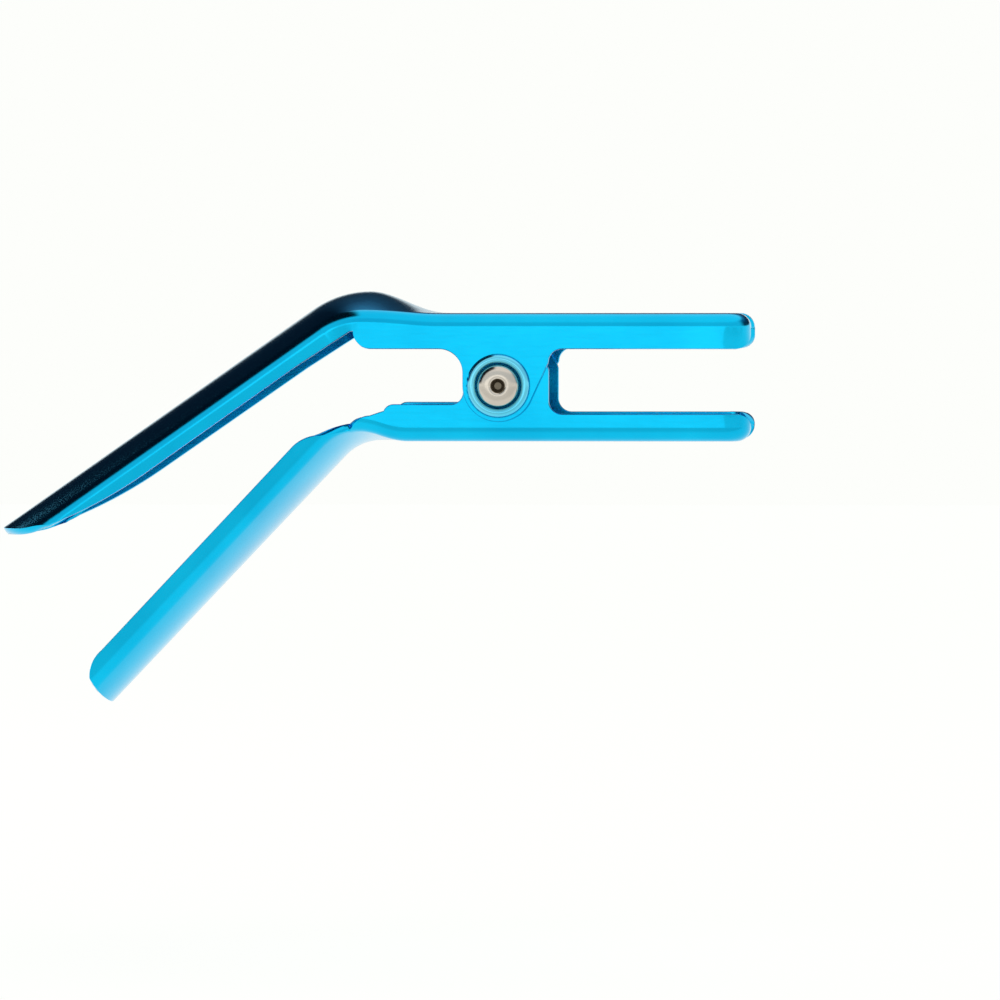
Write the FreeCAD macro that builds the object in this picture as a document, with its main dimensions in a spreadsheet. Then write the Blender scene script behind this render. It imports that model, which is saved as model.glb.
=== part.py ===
"""A sprung clamp of two pressed levers, which closes two forked jaws.

Two channels of pressed aluminium sheet cross at a rivet, like the halves of a clothes-peg.
Each has a forked jaw in front of the rivet and a crowned handle behind it.
The origin is on the axis of the jaws' round mouths, midway between the insides of their webs.
+X points out of the jaws, +Y across the clamp and +Z up.
All sizes are millimetres and degrees.
"""
import FreeCAD, Part
import math
import os

V = FreeCAD.Vector

doc = FreeCAD.newDocument("filtration_clamp")
sheet = doc.addObject("Spreadsheet::Sheet", "sizes")

DRIVING_SIZES = [
    # the pressed sheet
    ("sheet_thickness", 1.25),
    ("bend_radius", 2.2),
    ("crown_rise", 3.4),
    # the jaws
    ("seat_gap", 17.3),
    ("jaw_reach", 27.0),
    ("tip_reach", 11.8),
    ("mouth_radius", 11.0),
    ("tip_corner", 4.0),
    ("mouth_corner", 1.6),
    ("jaw_width", 38.0),
    ("nest_gap", 0.15),
    ("upper_flange_depth", 5.4),
    ("lower_jaw_flange_depth", 4.1),
    ("lower_rear_flange_depth", 5.6),
    ("upper_tip_radius", 2.0),
    ("lower_tip_radius", 2.8),
    # the ears and the rivet
    ("pivot_drop", 1.3),
    ("ear_back", 5.4),
    ("ear_front", 7.6),
    ("front_fillet", 2.2),
    ("back_fillet", 3.8),
    ("lower_back_fillet", 2.0),
    ("rivet_radius", 2.0),
    ("running_gap", 0.05),
    ("head_radius", 3.2),
    ("head_height", 1.4),
    ("head_dimple_radius", 0.9),
    ("head_dimple_depth", 0.9),
    ("bead_radius", 4.15),
    ("bead_half_width", 0.75),
    ("bead_height", 0.5),
    ("sleeve_wall", 1.1),
    # the spring
    ("wire_radius", 0.8),
    ("coil_gap", 0.3),
    ("coil_turns", 4.0),
    ("coil_pitch", 1.75),
    ("leg_reach", 13.5),
    ("wire_bend_radius", 2.0),
    # the bends and the handles, measured from the rivet
    ("upper_rear_length", 22.4),
    ("upper_rear_corner", 2.7),
    ("lower_rear_length", 23.0),
    ("lower_step_length", 17.8),
    ("lower_step_drop", 1.75),
    ("lower_step_corner", 1.5),
    ("lower_rear_corner", 3.0),
    ("upper_bend_back", 24.7),
    ("upper_bend_radius", 12.0),
    ("upper_handle_angle", 35.0),
    ("upper_handle_length", 63.3),
    ("upper_handle_depth", 6.2),
    ("upper_end_length", 13.0),
    ("upper_end_taper", 24.0),
    ("upper_end_depth", 2.0),
    ("upper_end_bulge", 0.75),
    ("lower_bend_back", 22.5),
    ("lower_bend_radius", 8.0),
    ("lower_handle_angle", 46.5),
    ("lower_handle_length", 56.5),
    ("lower_handle_depth", 6.2),
    ("lower_end_length", 2.0),
    ("lower_end_taper", 5.6),
    ("lower_end_depth", 2.4),
    ("lower_end_bulge", 0.7),
    ("upper_neck_run", 11.0),
    ("lower_neck_run", 7.0),
    ("lower_neck_length", 4.3),
    ("lower_neck_drop", 0.5),
    ("handle_root_inset", 0.8),
    ("handle_end_width", 23.0),
]

for row, (alias, value) in enumerate(DRIVING_SIZES, start=1):
    sheet.set(f"A{row}", alias)
    sheet.set(f"B{row}", str(value))
    sheet.setAlias(f"B{row}", alias)
doc.recompute()


def size(alias):
    """The value of one named cell."""
    return float(sheet.get(alias))


# Levels and places that both levers share.
SHEET = size("sheet_thickness")
SEAT = size("seat_gap") / 2
WEB_TOP = SEAT + SHEET
PIVOT_X = -size("jaw_reach")
PIVOT_Z = -size("pivot_drop")
TIP_X = size("tip_reach")
EAR_BACK_X = PIVOT_X - size("ear_back")
EAR_FRONT_X = PIVOT_X + size("ear_front")
UPPER_HALF_WIDTH = size("jaw_width") / 2
LOWER_HALF_WIDTH = UPPER_HALF_WIDTH - SHEET - size("nest_gap")
HANDLE_END_HALF_WIDTH = size("handle_end_width") / 2
# Lofts that share an end section are joined within this distance.
JOIN_TOLERANCE = 0.01
# How far the cutting shapes reach past the metal that they cut.
BEYOND = 30.0
# The deep raw channel in front of the handle bend is cut back to its flange and ears later.
RAW_FLANGE = WEB_TOP - PIVOT_Z + size("ear_back") + 1.0
# The channel behind the ears is a loft from here on.
LOFT_X = EAR_BACK_X - size("back_fillet")


def arc_through(start, middle, end):
    return Part.Arc(start, middle, end).toShape()


def line(start, end):
    return Part.LineSegment(start, end).toShape()


def channel_section(origin, angle, half_width, apex, shoulder, lip):
    """A closed wire: the section of the crowned channel across the lever at one place on it.

    The heights apex, shoulder and lip are measured from origin along the channel's outward normal,
    which turns with angle.
    """
    tilt = math.radians(angle)
    normal = V(-math.sin(tilt), 0, math.cos(tilt))

    def place(across, height):
        return origin + V(0, across, 0) + normal * height

    def half_profile(width, top, flat, bend):
        """Where the wall meets the bend, the middle of the bend and where the bend meets the crown."""
        rise = top - flat
        if rise < 1e-6:
            centre = (width - bend, flat - bend)
            lean = math.pi / 2
        else:
            crown = (width * width + rise * rise) / (2 * rise)
            reach = math.sqrt((crown - bend) ** 2 - (width - bend) ** 2)
            centre = (width - bend, top - crown + reach)
            lean = math.atan2(reach, width - bend)
        middle = lean / 2
        return (
            (width, centre[1]),
            (centre[0] + bend * math.cos(middle), centre[1] + bend * math.sin(middle)),
            (centre[0] + bend * math.cos(lean), centre[1] + bend * math.sin(lean)),
        )

    bend = size("bend_radius")
    outer = half_profile(half_width, apex, shoulder, bend)
    crown_radius = (half_width**2 + (apex - shoulder) ** 2) / (2 * max(apex - shoulder, 1e-6))
    inner_width = half_width - SHEET
    inner_apex = apex - SHEET
    inner_crown = crown_radius - SHEET
    inner_rise = 0.0
    if apex - shoulder > 1e-6:
        inner_rise = inner_crown - math.sqrt(inner_crown**2 - inner_width**2)
    inner = half_profile(inner_width, inner_apex, inner_apex - inner_rise, bend - SHEET)

    def profile_edges(half, width, top):
        wall, mid_bend, crown_end = half
        edges = [
            line(place(-width, lip), place(-wall[0], wall[1])),
            arc_through(place(-wall[0], wall[1]), place(-mid_bend[0], mid_bend[1]), place(-crown_end[0], crown_end[1])),
        ]
        if top - crown_end[1] < 1e-6:
            edges.append(line(place(-crown_end[0], crown_end[1]), place(crown_end[0], crown_end[1])))
        else:
            edges.append(arc_through(place(-crown_end[0], crown_end[1]), place(0, top), place(crown_end[0], crown_end[1])))
        edges.append(arc_through(place(crown_end[0], crown_end[1]), place(mid_bend[0], mid_bend[1]), place(wall[0], wall[1])))
        edges.append(line(place(wall[0], wall[1]), place(width, lip)))
        return edges

    outer_edges = profile_edges(outer, half_width, apex)
    inner_edges = profile_edges(inner, inner_width, inner_apex)
    lips = [
        line(place(half_width, lip), place(inner_width, lip)),
        line(place(-inner_width, lip), place(-half_width, lip)),
    ]
    return Part.Wire(Part.__sortEdges__(outer_edges + [lips[0]] + inner_edges + [lips[1]]))


def smooth(share):
    """Rises from 0 to 1 with no slope at either end."""
    share = min(max(share, 0.0), 1.0)
    return share * share * (3 - 2 * share)


def bent_path(start_x, bend_back, bend_radius, angle, handle_length):
    """Stations (point, angle, distance) along the line of the web: flat, round the bend and down the handle.

    The lever is drawn with its web on top. A handle with a negative angle bends up, away from its side walls.
    """
    turn = math.radians(angle)
    sense = math.copysign(1, turn)
    tangent = bend_radius * math.tan(abs(turn) / 2)
    bend_start = PIVOT_X - bend_back + tangent
    flat_length = start_x - bend_start
    stations = []
    for share in (0.0, 0.2, 0.4, 0.6, 0.8):
        stations.append((V(start_x - share * flat_length, 0, WEB_TOP), 0.0, share * flat_length))
    centre = V(bend_start, 0, WEB_TOP - sense * bend_radius)
    for share in (0.0, 0.25, 0.5, 0.75, 1.0):
        here = share * turn
        point = centre + V(-math.sin(here), 0, math.cos(here)) * (sense * bend_radius)
        stations.append((point, math.degrees(here), flat_length + bend_radius * abs(here)))
    straight = handle_length - tangent
    end = stations[-1][0] + V(-math.cos(turn), 0, -math.sin(turn)) * straight
    stations.append((end, angle, stations[-1][2] + straight))
    return stations


def prism(edges, depth=BEYOND):
    """A closed outline in the XZ plane, pushed out to both sides."""
    face = Part.Face(Part.Wire(Part.__sortEdges__(edges)))
    if face.normalAt(0, 0).y < 0:
        face.reverse()
    face.translate(V(0, -depth, 0))
    return face.extrude(V(0, 2 * depth, 0))


def path_edges(steps):
    """Edges of a closed outline from steps ("line", x, z) and ("arc", mid x, mid z, x, z)."""
    edges = []
    here = V(steps[0][1], 0, steps[0][2])
    first = here
    for step in steps[1:]:
        end = V(step[-2], 0, step[-1])
        if step[0] == "line":
            edges.append(line(here, end))
        else:
            edges.append(arc_through(here, V(step[1], 0, step[2]), end))
        here = end
    if here.distanceToPoint(first) > 1e-7:
        edges.append(line(here, first))
    return edges


def round_corner(centre_x, centre_z, radius, start_degrees, end_degrees):
    """An arc step about a centre, ending at end_degrees."""
    middle = math.radians((start_degrees + end_degrees) / 2)
    end = math.radians(end_degrees)
    return (
        "arc",
        centre_x + radius * math.cos(middle),
        centre_z + radius * math.sin(middle),
        centre_x + radius * math.cos(end),
        centre_z + radius * math.sin(end),
    )


def jaw_tray(half_width):
    """The front of a lever, opening downwards: web, rounded bends and deep side walls that wrap the front corners."""
    corner = size("tip_corner")
    bend = size("bend_radius")
    floor_z = WEB_TOP - RAW_FLANGE

    def block(back_x, front_x, width, radius, low_z, high_z, fillet):
        steps = [
            ("start", back_x, -width),
            ("line", front_x - radius, -width),
            round_corner(front_x - radius, -width + radius, radius, -90, 0),
            ("line", front_x, width - radius),
            round_corner(front_x - radius, width - radius, radius, 0, 90),
            ("line", back_x, width),
        ]
        flat = Part.Face(Part.Wire(Part.__sortEdges__(path_edges(steps))))
        # The outline is drawn in the XZ plane and laid down flat.
        flat.rotate(V(0, 0, 0), V(1, 0, 0), -90)
        flat.translate(V(0, 0, low_z))
        solid = flat.extrude(V(0, 0, high_z - low_z))
        rim = []
        for edge in solid.Edges:
            box = edge.BoundBox
            on_top = abs(box.ZMin - high_z) < 1e-6 and abs(box.ZMax - high_z) < 1e-6
            if on_top and box.XMax > back_x + 1e-6:
                rim.append(edge)
        return solid.makeFillet(fillet, rim)

    outside = block(LOFT_X, TIP_X, half_width, corner, floor_z, WEB_TOP, bend)
    inside = block(
        LOFT_X - BEYOND, TIP_X - SHEET, half_width - SHEET, corner - SHEET, floor_z - BEYOND, SEAT, bend - SHEET
    )
    tray = outside.cut(inside)
    mouth_wall = Part.makeBox(
        corner + BEYOND, 2 * (half_width - corner), BEYOND, V(TIP_X - corner, corner - half_width, SEAT - BEYOND)
    )
    return tray.cut(mouth_wall)


def mouth_slot():
    """The U-shaped mouth, through both webs, with its front corners rounded off."""
    radius = size("mouth_radius")
    corner = size("mouth_corner")
    steps = [
        ("start", 0, -radius),
        ("line", TIP_X - corner, -radius),
        round_corner(TIP_X - corner, -radius - corner, corner, 90, 0),
        ("line", TIP_X + BEYOND, -radius - corner),
        ("line", TIP_X + BEYOND, radius + corner),
        ("line", TIP_X, radius + corner),
        round_corner(TIP_X - corner, radius + corner, corner, 0, -90),
        ("line", 0, radius),
        ("arc", -radius, 0, 0, -radius),
    ]
    flat = Part.Face(Part.Wire(Part.__sortEdges__(path_edges(steps))))
    flat.rotate(V(0, 0, 0), V(1, 0, 0), -90)
    flat.translate(V(0, 0, -BEYOND))
    return flat.extrude(V(0, 0, 2 * BEYOND))


def handle_end(path, end_length):
    """What is cut away to round the end of a handle: all that lies outside half an ellipse across it."""
    tip, angle, _ = path[-1]
    turn = math.radians(angle)
    start = tip + V(math.cos(turn), 0, math.sin(turn)) * end_length
    half_width = HANDLE_END_HALF_WIDTH + SHEET
    axes = sorted([V(-end_length, 0, 0), V(0, half_width, 0)], key=lambda axis: -axis.Length)
    ellipse = Part.Ellipse(axes[0], axes[1], V(0, 0, 0))
    disc = Part.Face(Part.Wire(ellipse.toShape()))
    disc.translate(V(0, 0, -BEYOND))
    keep = disc.extrude(V(0, 0, 2 * BEYOND))
    waste = Part.makeBox(BEYOND, 2 * BEYOND, 2 * BEYOND, V(-BEYOND, -BEYOND, -BEYOND)).cut(keep)
    waste.rotate(V(0, 0, 0), V(0, 1, 0), -angle)
    waste.translate(start)
    return waste


def sewn_end_to_end(solids):
    """One solid from several that meet at shared end faces: those faces are left out and the rest is sewn."""

    def is_shared(face, others):
        return any(face.CenterOfMass.distanceToPoint(other.CenterOfMass) < JOIN_TOLERANCE for other in others)

    faces = []
    for solid in solids:
        others = [face for other in solids if other is not solid for face in other.Faces]
        faces += [face for face in solid.Faces if not is_shared(face, others)]
    skin = Part.Compound(faces)
    skin.sewShape(JOIN_TOLERANCE)
    return Part.Solid(skin.Shells[0])


def crowned_tail(path, body_half_width, handle_depth):
    """The loft from the ears back: the flat channel gains its crown, turns and narrows along the handle.

    Where the handle bends down, the crown rises above the web in front of the bend. Where it bends up, the
    sides fall away from the web, so the ridge stays on the web line.
    """
    bends_down = path[-1][1] > 0
    bend_start = path[5][2]
    bend_end = path[9][2]
    total = path[-1][2]
    sections = []
    for point, angle, distance in path:
        if bends_down:
            rise = size("crown_rise") * smooth(distance / bend_start)
        else:
            rise = size("crown_rise") * smooth((distance - bend_start / 2) / (bend_end - bend_start / 2))
        inset = size("handle_root_inset") * smooth((distance - bend_start) / (bend_end - bend_start))
        root = body_half_width - inset
        taper = max(0.0, (distance - bend_end) / (total - bend_end))
        width = root + (HANDLE_END_HALF_WIDTH - root) * taper
        apex, shoulder = (rise, 0.0) if bends_down else (0.0, -rise)
        lip = apex - handle_depth - 2.0
        sections.append(channel_section(point, angle, width, apex, shoulder, lip))
    bend = Part.makeLoft(sections[:-1], True, False)
    handle = Part.makeLoft(sections[-2:], True, True)
    return sewn_end_to_end([bend, handle])


def lip_point(side, bend_back, angle, below_web, distance):
    """A point of a handle's lip line: below_web under the web line, and distance down the handle from its bend."""
    turn = math.radians(angle)
    x = PIVOT_X - bend_back + side * below_web * math.sin(turn) - distance * math.cos(turn)
    z = side * WEB_TOP - side * below_web * math.cos(turn) - distance * math.sin(turn)
    return x, z


def upper_outline():
    """What is kept of the upper channel, seen from the side: flange, ears, rear corner and handle lip."""
    flange = WEB_TOP - size("upper_flange_depth")
    tip = size("upper_tip_radius")
    front = size("front_fillet")
    back = size("back_fillet")
    rear_x = PIVOT_X - size("upper_rear_length")
    corner = size("upper_rear_corner")
    # The ear's front edge leaves its fillet on the tangent to the round lobe about the rivet.
    out_x = size("ear_front")
    out_z = flange - front - PIVOT_Z
    lobe = size("ear_back")
    tangent = math.atan2(out_z, out_x) - math.acos(lobe / math.hypot(out_x, out_z))
    lip_drop = size("upper_handle_depth") - size("crown_rise")
    bend = (1, size("upper_bend_back"), size("upper_handle_angle"), lip_drop)
    length = size("upper_handle_length")
    taper = size("upper_end_taper")
    end_lip = size("upper_end_depth") - size("crown_rise")
    lip_start = lip_point(*bend, size("upper_neck_run"))
    lip_turn = lip_point(*bend, length - taper)
    bulge = size("upper_end_bulge")
    lip_bulge = lip_point(*bend[:3], end_lip + (lip_drop - end_lip) * bulge, length - taper / 2)
    lip_end = lip_point(*bend[:3], end_lip, length)
    return [
        ("start", TIP_X + BEYOND, 2 * BEYOND),
        ("line", TIP_X + BEYOND, flange + tip),
        ("line", TIP_X, flange + tip),
        round_corner(TIP_X - tip, flange + tip, tip, 0, -90),
        ("line", EAR_FRONT_X + front, flange),
        round_corner(EAR_FRONT_X + front, flange - front, front, 90, 180),
        ("line", PIVOT_X + lobe * math.cos(tangent), PIVOT_Z + lobe * math.sin(tangent)),
        round_corner(PIVOT_X, PIVOT_Z, lobe, math.degrees(tangent), -180),
        ("line", EAR_BACK_X, flange - back),
        round_corner(EAR_BACK_X - back, flange - back, back, 0, 90),
        ("line", rear_x + corner, flange),
        round_corner(rear_x + corner, flange + corner, corner, -90, -180),
        ("line", rear_x - 0.6, flange + corner),
        ("line", *lip_start),
        ("line", *lip_turn),
        ("arc", *lip_bulge, *lip_end),
        ("line", lip_end[0] - BEYOND, lip_end[1]),
        ("line", lip_end[0] - BEYOND, 2 * BEYOND),
    ]


def lower_outline():
    """What is kept of the lower channel, seen from the side: flange, ears, stepped rear end and handle lip."""
    jaw = -WEB_TOP + size("lower_jaw_flange_depth")
    rear = -WEB_TOP + size("lower_rear_flange_depth")
    tip = size("lower_tip_radius")
    front = size("front_fillet")
    back = size("lower_back_fillet")
    top = size("ear_front") + 0.4
    top_front = math.degrees(math.acos(size("ear_front") / top))
    top_back = math.degrees(math.acos(-size("ear_back") / top))
    step_x = PIVOT_X - size("lower_step_length")
    step = size("lower_step_corner")
    shelf = rear - size("lower_step_drop")
    rear_x = PIVOT_X - size("lower_rear_length")
    corner = size("lower_rear_corner")
    bend = (-1, size("lower_bend_back"), size("lower_handle_angle"), size("lower_handle_depth"))
    length = size("lower_handle_length")
    taper = size("lower_end_taper")
    end_lip = size("lower_end_depth")
    lip_start = lip_point(*bend, size("lower_neck_run"))
    lip_turn = lip_point(*bend, length - taper)
    bulge = size("lower_end_bulge")
    lip_bulge = lip_point(*bend[:3], end_lip + (bend[3] - end_lip) * bulge, length - taper * (1 - bulge))
    lip_end = lip_point(*bend[:3], end_lip, length)
    # The neck between the flange's rear corner and the handle's lip lies level with the corner's foot.
    notch = shelf - corner * 0.85
    neck = size("lower_neck_length")
    neck_drop = size("lower_neck_drop")
    return [
        ("start", TIP_X + BEYOND, -3 * BEYOND),
        ("line", TIP_X + BEYOND, jaw - tip),
        ("line", TIP_X, jaw - tip),
        round_corner(TIP_X - tip, jaw - tip, tip, 0, 90),
        ("line", EAR_FRONT_X + front, jaw),
        round_corner(EAR_FRONT_X + front, jaw + front, front, -90, -180),
        ("line", EAR_FRONT_X, PIVOT_Z + top * math.sin(math.radians(top_front))),
        round_corner(PIVOT_X, PIVOT_Z, top, top_front, top_back),
        ("line", EAR_BACK_X, rear + back),
        round_corner(EAR_BACK_X - back, rear + back, back, 0, -90),
        ("line", step_x + step, rear),
        round_corner(step_x + step, rear - step, step, 90, 160),
        ("line", rear_x + corner, shelf),
        round_corner(rear_x + corner, shelf - corner, corner, 90, 165),
        ("line", lip_start[0] + neck, notch - neck_drop),
        ("arc", lip_start[0] + neck / 3, (notch - neck_drop) * 0.6 + lip_start[1] * 0.4, *lip_start),
        ("line", *lip_turn),
        ("arc", *lip_bulge, *lip_end),
        ("line", lip_end[0] - BEYOND, lip_end[1]),
        ("line", lip_end[0] - BEYOND, -3 * BEYOND),
    ]


def add_feature(name, shape):
    feature = doc.addObject("Part::Feature", name)
    feature.Shape = shape
    return feature


def add_cross_cylinder(name, radius_expression, half_length):
    """A cylinder across the clamp on the rivet's axis, with its radius bound to the sheet."""
    cylinder = doc.addObject("Part::Cylinder", name)
    cylinder.setExpression("Radius", radius_expression)
    cylinder.Height = 2 * half_length
    cylinder.Placement = FreeCAD.Placement(V(PIVOT_X, -half_length, PIVOT_Z), FreeCAD.Rotation(V(1, 0, 0), -90))
    return cylinder


def add_cut(name, base, tool):
    cut = doc.addObject("Part::Cut", name)
    cut.Base = base
    cut.Tool = tool
    return cut


def lever_blank(name, side, half_width, angle, outline):
    """A whole pressing before it is drilled: jaw tray and crowned tail, trimmed to its outlines."""
    path = bent_path(
        LOFT_X, size(f"{name}_bend_back"), size(f"{name}_bend_radius"), angle, size(f"{name}_handle_length")
    )
    tail = crowned_tail(path, half_width, size(f"{name}_handle_depth"))
    blank = jaw_tray(half_width).fuse(tail).cut(handle_end(path, size(f"{name}_end_length")))
    if side < 0:
        blank = blank.mirror(V(0, 0, 0), V(0, 0, 1))
    blank = blank.common(prism(path_edges(outline))).cut(mouth_slot())
    return add_feature(f"{name}_blank", blank.removeSplitter())


upper_blank = lever_blank("upper", 1, UPPER_HALF_WIDTH, size("upper_handle_angle"), upper_outline())
lower_blank = lever_blank("lower", -1, LOWER_HALF_WIDTH, -size("lower_handle_angle"), lower_outline())


def pressed_beads():
    """A round bead about the rivet on the outside of each upper ear, and nothing where the ears are."""
    half = size("bead_half_width")
    sunk = half - size("bead_height")
    beads = []
    for across in (-1, 1):
        ring = Part.makeTorus(size("bead_radius"), half, V(0, 0, 0), V(0, 1, 0))
        ring.translate(V(PIVOT_X, across * (UPPER_HALF_WIDTH - sunk), PIVOT_Z))
        beads.append(ring)
    return Part.Compound(beads)


beads = add_feature("beads", pressed_beads())
beaded = doc.addObject("Part::MultiFuse", "beaded_upper")
beaded.Shapes = [upper_blank, beads]
hole_reach = UPPER_HALF_WIDTH + BEYOND
upper_hole = add_cross_cylinder("upper_hole", "sizes.rivet_radius + sizes.running_gap", hole_reach)
lower_hole = add_cross_cylinder("lower_hole", "sizes.rivet_radius", hole_reach)
upper_lever = add_cut("upper_lever", beaded, upper_hole)
lower_lever = add_cut("lower_lever", lower_blank, lower_hole)


def dome_profile(across, face_y, radius, height):
    """A half section of a domed head from its rim on face_y to its crest, about the rivet's axis."""
    crest_y = face_y + across * height
    ball = (radius * radius + height * height) / (2 * height)
    lean = math.asin(radius / ball) / 2
    middle = V(ball * math.sin(lean), crest_y - across * ball * (1 - math.cos(lean)), 0)
    return V(radius, face_y, 0), middle, V(0, crest_y, 0)


def rivet_shape():
    """The rivet turned about its axis: a plain dome at +Y, and at -Y a dome rolled over a cone-shaped dimple."""
    radius = size("rivet_radius")
    face = UPPER_HALF_WIDTH + size("running_gap")
    height = size("head_height")
    near_rim, near_mid, near_crest = dome_profile(-1, -face, size("head_radius"), height)
    far_rim, far_mid, far_crest = dome_profile(1, face, size("head_radius"), height)
    edges = [
        arc_through(far_crest, far_mid, far_rim),
        line(far_rim, V(radius, face, 0)),
        line(V(radius, face, 0), V(radius, -face, 0)),
        line(V(radius, -face, 0), near_rim),
        arc_through(near_rim, near_mid, near_crest),
        line(near_crest, far_crest),
    ]
    solid = Part.Face(Part.Wire(Part.__sortEdges__(edges))).revolve(V(0, 0, 0), V(0, 1, 0), 360)
    depth = size("head_dimple_depth")
    dimple = Part.makeCone(
        size("head_dimple_radius"), size("head_dimple_radius") / 4, depth, V(0, near_crest.y, 0), V(0, 1, 0)
    )
    solid = solid.cut(dimple)
    solid.translate(V(PIVOT_X, 0, PIVOT_Z))
    return solid


pivot_rivet = add_feature("pivot_rivet", rivet_shape())

EAR_INSIDE = LOWER_HALF_WIDTH - SHEET
SLEEVE_RADIUS = size("rivet_radius") + size("running_gap") + size("sleeve_wall")
sleeve_outside = add_cross_cylinder(
    "sleeve_outside", "sizes.rivet_radius + sizes.running_gap + sizes.sleeve_wall", EAR_INSIDE - size("running_gap")
)
sleeve_bore = add_cross_cylinder("sleeve_bore", "sizes.rivet_radius + sizes.running_gap", EAR_INSIDE + SHEET)
spacer_sleeve = add_cut("spacer_sleeve", sleeve_outside, sleeve_bore)


def spring_shape():
    """The double torsion spring: a bar under the upper web, two coils on the sleeve and a leg from each coil.

    The wire of each half runs from the middle of the bar round a bend, straight to the top of its coil, down
    a helix outwards along the sleeve, and from the bottom of the coil straight to the lower web.
    """
    wire = size("wire_radius")
    coil = SLEEVE_RADIUS + size("coil_gap") + wire
    pitch = size("coil_pitch")
    reach = size("leg_reach")
    bend = size("wire_bend_radius")
    slope = pitch / (2 * math.pi * coil)
    top_z = SEAT - wire - size("running_gap") - PIVOT_Z
    low_z = -SEAT + wire + size("running_gap") - PIVOT_Z

    def touch_angle(x, z, over):
        """Where the tangent from (x, z) meets the coil: over its top if over is 1, under it if -1."""
        return math.atan2(z, x) - over * math.acos(coil / math.hypot(x, z))

    start = touch_angle(-reach, top_z, 1)
    stop = touch_angle(-reach, low_z, -1)
    # The coil turns clockwise, seen from -Y, as it runs outwards along +Y.
    sweep = (start - stop) % (2 * math.pi) + 2 * math.pi * int(size("coil_turns"))
    length = pitch * sweep / (2 * math.pi)
    arm_run = math.sqrt(reach * reach + top_z * top_z - coil * coil)
    leg_run = math.sqrt(reach * reach + low_z * low_z - coil * coil)
    inner_y = EAR_INSIDE - size("coil_gap") - wire - length - slope * leg_run

    helix = Part.makeHelix(pitch, length, coil)
    helix.rotate(V(0, 0, 0), V(0, 0, 1), math.degrees(-start))
    helix.rotate(V(0, 0, 0), V(1, 0, 0), -90)
    helix.translate(V(0, inner_y, 0))
    path = Part.Wire(helix.Edges)
    first = path.OrderedEdges[0]
    profile = Part.makeCircle(
        wire, first.valueAt(first.FirstParameter), first.tangentAt(first.FirstParameter)
    )
    wound = path.makePipeShell([Part.Wire(profile)], True, True)

    def rod(here, there):
        return Part.makeCylinder(wire, here.distanceToPoint(there), here, there - here)

    top_touch = V(coil * math.cos(start), inner_y, coil * math.sin(start))
    low_touch = V(coil * math.cos(stop), inner_y + length, coil * math.sin(stop))
    corner = V(-reach, inner_y - slope * arm_run, top_z)
    foot = V(-reach, inner_y + length + slope * leg_run, low_z)
    # The bend between the bar and the arm, rounded about a centre inside the corner.
    along_arm = (top_touch - corner).normalize()
    along_bar = V(0, -1, 0)
    turn = math.pi - along_arm.getAngle(along_bar)
    setback = bend * math.tan(turn / 2)
    bend_axis = along_bar.cross(along_arm).normalize()
    bar_end = corner + along_bar * setback
    arm_end = corner + along_arm * setback
    inward = bend_axis.cross(along_bar).normalize()
    centre = bar_end + inward * bend
    disc = Part.Face(Part.Wire(Part.makeCircle(wire, bar_end, along_bar)))
    elbow = disc.revolve(centre, bend_axis * -1, math.degrees(turn))
    arm = rod(arm_end, top_touch)
    leg = rod(low_touch, foot)
    bar = rod(bar_end, V(bar_end.x, -bar_end.y, bar_end.z))
    half = [elbow, arm, wound, leg]
    whole = sewn_end_to_end([bar] + half + [piece.mirror(V(0, 0, 0), V(0, 1, 0)) for piece in half])
    whole.translate(V(PIVOT_X, 0, PIVOT_Z))
    return whole


torsion_spring = add_feature("torsion_spring", spring_shape())

SUBPARTS = [upper_lever, lower_lever, pivot_rivet, spacer_sleeve, torsion_spring]
for subpart in SUBPARTS:
    subpart.Label = subpart.Name

doc.recompute()

for item in doc.Objects:
    if "Invalid" in item.State or "Error" in item.State:
        raise RuntimeError(f"{item.Name} failed: {item.State}")
for subpart in SUBPARTS:
    shape = subpart.Shape
    if shape.isNull() or not shape.isValid():
        raise RuntimeError(f"{subpart.Label} has no valid shape")

os.makedirs("parts", exist_ok=True)
for subpart in SUBPARTS:
    shape = subpart.Shape
    shape.exportStep(f"parts/{subpart.Label}.step")
    print(subpart.Label, "solids", len(shape.Solids), "volume", round(shape.Volume, 2))
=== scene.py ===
"""Dressed scene of a sprung clamp of two pressed levers, each with a forked jaw and a handle.

The row frame is in metres. Its origin is on the axis of the jaws' round mouths, midway between the webs.
+X points towards the jaw tips, +Z towards the upper lever and -Y towards the camera. The sizes below are in
mm, and MM turns them into metres.
"""

import math

import bmesh
import bpy
import numpy as np
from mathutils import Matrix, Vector
from mathutils.geometry import delaunay_2d_cdt


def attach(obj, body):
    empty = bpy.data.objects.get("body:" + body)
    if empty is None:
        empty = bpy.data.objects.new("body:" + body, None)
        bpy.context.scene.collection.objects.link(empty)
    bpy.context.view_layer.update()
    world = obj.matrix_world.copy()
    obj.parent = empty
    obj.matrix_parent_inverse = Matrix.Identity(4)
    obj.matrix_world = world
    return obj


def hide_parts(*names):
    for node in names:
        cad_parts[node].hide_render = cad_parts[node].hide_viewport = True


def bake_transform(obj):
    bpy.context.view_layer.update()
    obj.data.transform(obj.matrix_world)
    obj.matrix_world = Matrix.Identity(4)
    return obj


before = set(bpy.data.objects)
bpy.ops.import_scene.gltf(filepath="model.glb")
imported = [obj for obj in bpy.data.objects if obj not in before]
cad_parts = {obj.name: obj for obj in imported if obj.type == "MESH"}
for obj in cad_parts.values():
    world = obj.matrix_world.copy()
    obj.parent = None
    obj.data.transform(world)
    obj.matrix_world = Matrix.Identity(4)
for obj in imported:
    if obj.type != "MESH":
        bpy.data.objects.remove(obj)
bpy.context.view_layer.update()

MM = 0.001
PIVOT_X = -27.0
PIVOT_Z = -1.3


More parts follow.
